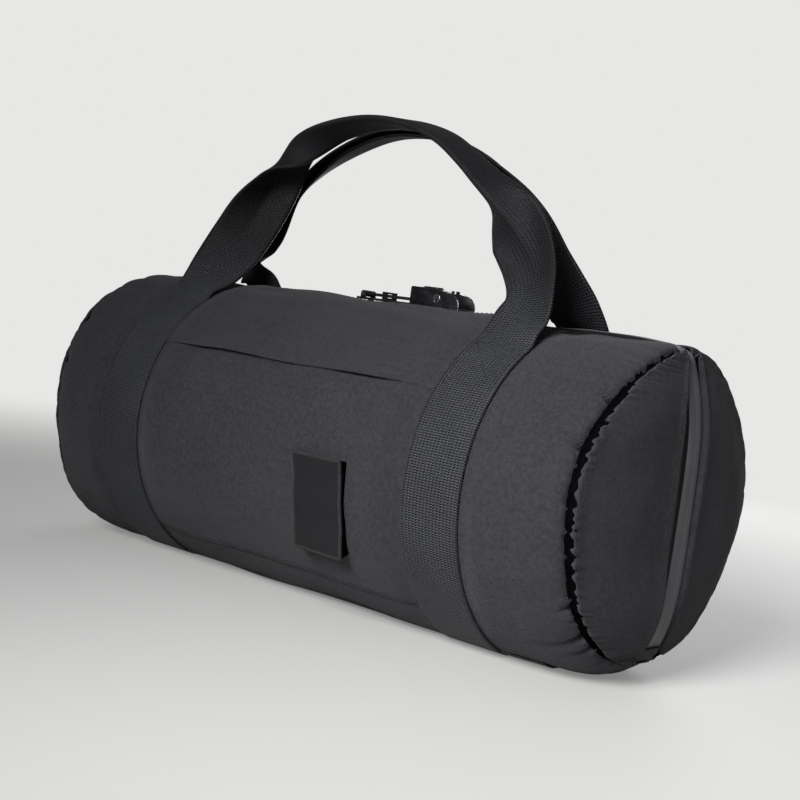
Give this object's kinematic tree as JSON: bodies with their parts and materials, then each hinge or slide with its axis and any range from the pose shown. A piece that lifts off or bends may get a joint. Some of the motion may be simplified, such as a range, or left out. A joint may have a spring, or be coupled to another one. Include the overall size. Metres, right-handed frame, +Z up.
{
  "type": "telescope carry case",
  "caption": "Padded cylindrical soft case that opens along a top zip into two halves, with two webbing carry handles, a slip pocket, a bare patch and a lock on the zip sliders.",
  "frame": {"origin": "on the ground, under the middle of the tube", "axes": "+X along the tube, -Y towards the pocket side, +Z up"},
  "size_m": [0.4516, 0.1891, 0.2921],
  "materials": {
    "outer_fabric": "fine plain woven nylon, matt",
    "webbing": "ribbed nylon webbing, slight sheen",
    "foam": "closed-cell foam",
    "lining": "smooth woven lining",
    "zip_tape": "coated zip tape, satin",
    "zip_coil": "nylon coil",
    "patch": "bare woven patch with a merrowed edge",
    "hook_tape": "hook and loop tape",
    "gunmetal": "dark satin plated zinc",
    "bright_metal": "polished plated steel",
    "wheel": "black number wheels"
  },
  "bodies": {
    "base": {"base_panel": "outer_fabric", "base_foam": "foam", "base_lining": "lining", "base_webbing_left": "webbing", "base_webbing_right": "webbing", "zip_stop_left": "zip_tape", "zip_stop_right": "zip_tape"},
    "front_half": {"front_panel": "outer_fabric", "front_end_panel_left": "outer_fabric", "front_end_panel_right": "outer_fabric", "front_foam": "foam", "front_end_foam_left": "foam", "front_end_foam_right": "foam", "front_lining": "lining", "front_end_lining_left": "lining", "front_end_lining_right": "lining", "front_zip_tape": "zip_tape", "front_zip_coil": "zip_coil", "front_webbing_left": "webbing", "front_webbing_right": "webbing", "pocket_panel": "outer_fabric", "pocket_flap": "outer_fabric", "patch_backing": "hook_tape", "patch": "patch"},
    "rear_half": {"rear_panel": "outer_fabric", "rear_end_panel_left": "outer_fabric", "rear_end_panel_right": "outer_fabric", "rear_foam": "foam", "rear_end_foam_left": "foam", "rear_end_foam_right": "foam", "rear_lining": "lining", "rear_end_lining_left": "lining", "rear_end_lining_right": "lining", "rear_zip_tape": "zip_tape", "rear_zip_coil": "zip_coil", "rear_webbing_left": "webbing", "rear_webbing_right": "webbing"},
    "front_handle": {"front_handle": "webbing"},
    "rear_handle": {"rear_handle": "webbing"},
    "left_slider": {"left_slider": "gunmetal", "long_pull": "gunmetal", "pull_pin": "bright_metal"},
    "right_slider": {"right_slider": "gunmetal", "lock_case": "gunmetal", "lock_base": "gunmetal", "wheel_axle": "bright_metal", "latch_bar": "bright_metal", "button_spring": "bright_metal"},
    "number_wheel_1": {"number_wheel_1": "wheel"},
    "number_wheel_2": {"number_wheel_2": "wheel"},
    "number_wheel_3": {"number_wheel_3": "wheel"},
    "release_button": {"release_button": "bright_metal"},
    "key_cylinder": {"key_cylinder": "bright_metal"}
  },
  "joints": [
    {"name": "front_open", "type": "hinge", "parent": "base", "child": "front_half", "pos_m": [0, -0.05544, 0.01311], "axis": [1, 0, 0], "range_deg": [0, 50]},
    {"name": "rear_open", "type": "hinge", "parent": "base", "child": "rear_half", "pos_m": [0, 0.05544, 0.01311], "axis": [1, 0, 0], "range_deg": [-50, 0]},
    {"name": "front_handle_swing", "type": "hinge", "parent": "front_half", "child": "front_handle", "pos_m": [0, -0.04727, 0.17035], "axis": [1, 0, 0], "range_deg": [0, 125]},
    {"name": "rear_handle_swing", "type": "hinge", "parent": "rear_half", "child": "rear_handle", "pos_m": [0, 0.04727, 0.17035], "axis": [-1, 0, 0], "range_deg": [0, 125]},
    {"name": "left_slider_run", "type": "slide", "parent": "front_half", "child": "left_slider", "axis": [-1, 0, 0], "range_m": [0, 0.145]},
    {"name": "right_slider_run", "type": "slide", "parent": "front_half", "child": "right_slider", "axis": [1, 0, 0], "range_m": [0, 0.112]},
    {"name": "number_wheel_1_turn", "type": "hinge", "parent": "right_slider", "child": "number_wheel_1", "pos_m": [0.03025, 0, 0.18887], "axis": [1, 0, 0], "continuous": true},
    {"name": "number_wheel_2_turn", "type": "hinge", "parent": "right_slider", "child": "number_wheel_2", "pos_m": [0.03485, 0, 0.18887], "axis": [1, 0, 0], "continuous": true},
    {"name": "number_wheel_3_turn", "type": "hinge", "parent": "right_slider", "child": "number_wheel_3", "pos_m": [0.03945, 0, 0.18887], "axis": [1, 0, 0], "continuous": true},
    {"name": "release_press", "type": "slide", "parent": "right_slider", "child": "release_button", "axis": [0, 0, -1], "range_m": [0, 0.0012], "stiffness_N_per_m": 400, "springref_m": -0.0006, "deforming": ["button_spring"]},
    {"name": "key_turn", "type": "hinge", "parent": "right_slider", "child": "key_cylinder", "pos_m": [0.045, 0, 0.18657], "axis": [0, -1, 0], "range_deg": [0, 90]}
  ],
  "couplings": [
    {"joint": "rear_open", "follows": "front_open", "ratio": -1}
  ]
}
